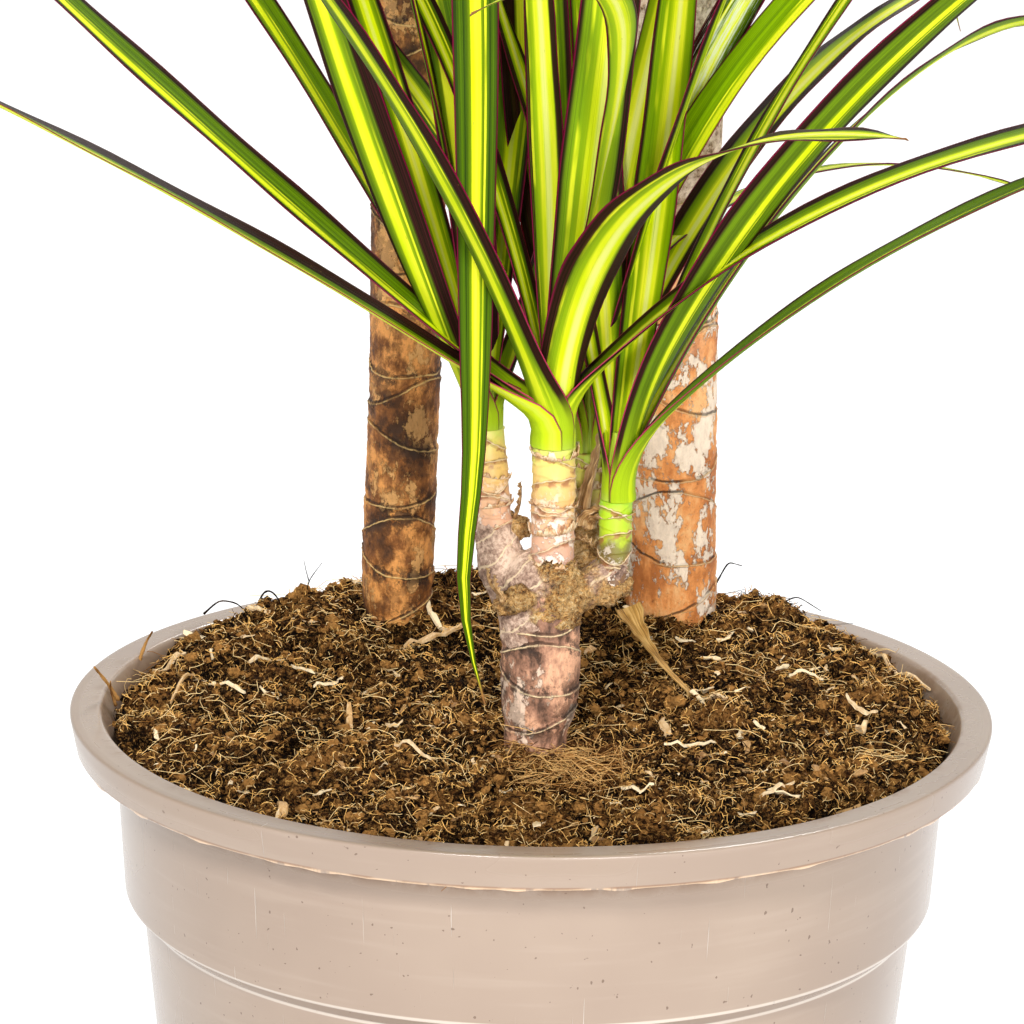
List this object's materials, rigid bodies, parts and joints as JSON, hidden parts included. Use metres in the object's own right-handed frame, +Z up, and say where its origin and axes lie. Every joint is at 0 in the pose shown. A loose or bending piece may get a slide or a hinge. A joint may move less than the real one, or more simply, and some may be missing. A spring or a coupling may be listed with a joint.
{
  "type": "potted dracaena",
  "caption": "Variegated dracaena house plant: ringed canes of stepped height with heads of narrow arching leaves, standing in soil in a taupe nursery pot.",
  "frame": {"origin": "centre of the pot's flat base, on the surface it stands on", "axes": "+Z up along the pot's axis, -Y towards the viewer with the short cane in front, +X to the viewer's right where the tallest cane stands"},
  "size_m": [0.5524, 0.5093, 0.9715],
  "materials": {
    "pot_plastic": "satin injection-moulded polypropylene, taupe",
    "potting_soil": null,
    "cane_bark": "dry papery bark with leaf scars",
    "leaf": "waxy leaf, yellow-striped green with maroon edges",
    "dry_leaf": null
  },
  "bodies": {
    "root": {"pot": "pot_plastic", "soil": "potting_soil", "cane_left": "cane_bark", "cane_right": "cane_bark", "cane_short": "cane_bark", "leaves_short_cane": "leaf", "leaves_left_cane": "leaf", "leaves_right_cane": "leaf", "dry_leaf": "dry_leaf"}
  },
  "joints": []
}
